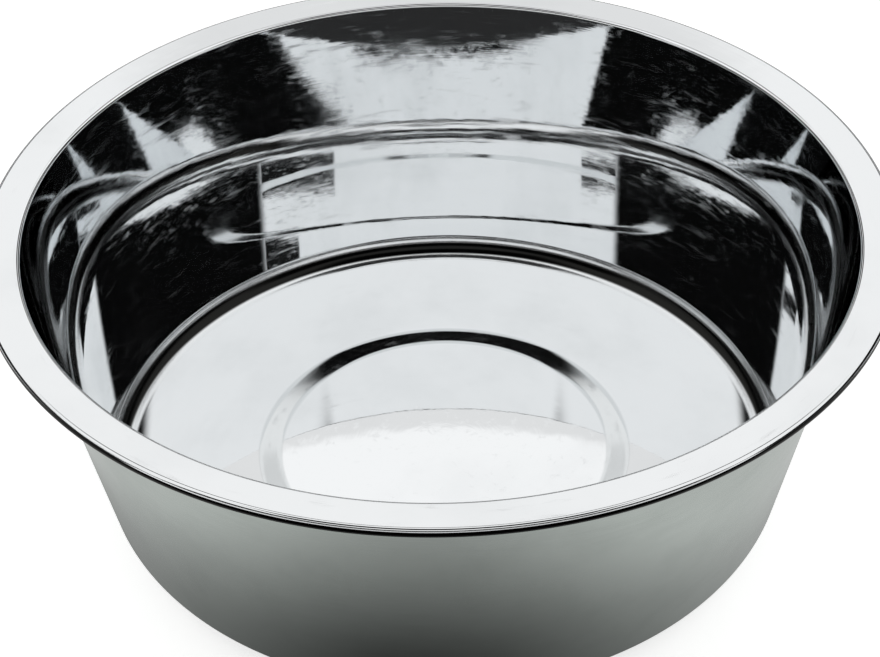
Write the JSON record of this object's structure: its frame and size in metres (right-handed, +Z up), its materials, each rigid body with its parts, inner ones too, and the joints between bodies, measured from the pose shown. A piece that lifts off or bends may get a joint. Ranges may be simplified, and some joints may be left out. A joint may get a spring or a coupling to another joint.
{
  "type": "dog bowl",
  "caption": "Round stainless steel dog bowl with a tapered wall, a flat rolled rim, a pressed foot and a rubber ring underneath that keeps it from sliding.",
  "frame": {"origin": "on the surface that the bowl stands on, under the middle of the bowl", "axes": "+Z up along the bowl's axis; X and Y are any two directions across it"},
  "size_m": [0.21, 0.21, 0.0767],
  "materials": {
    "stainless_steel": "mirror polished inside and on the rim, satin outside",
    "black_rubber": "matt moulded rubber"
  },
  "bodies": {
    "root": {"bowl_shell": "stainless_steel", "non_slip_ring": "black_rubber"}
  },
  "joints": []
}
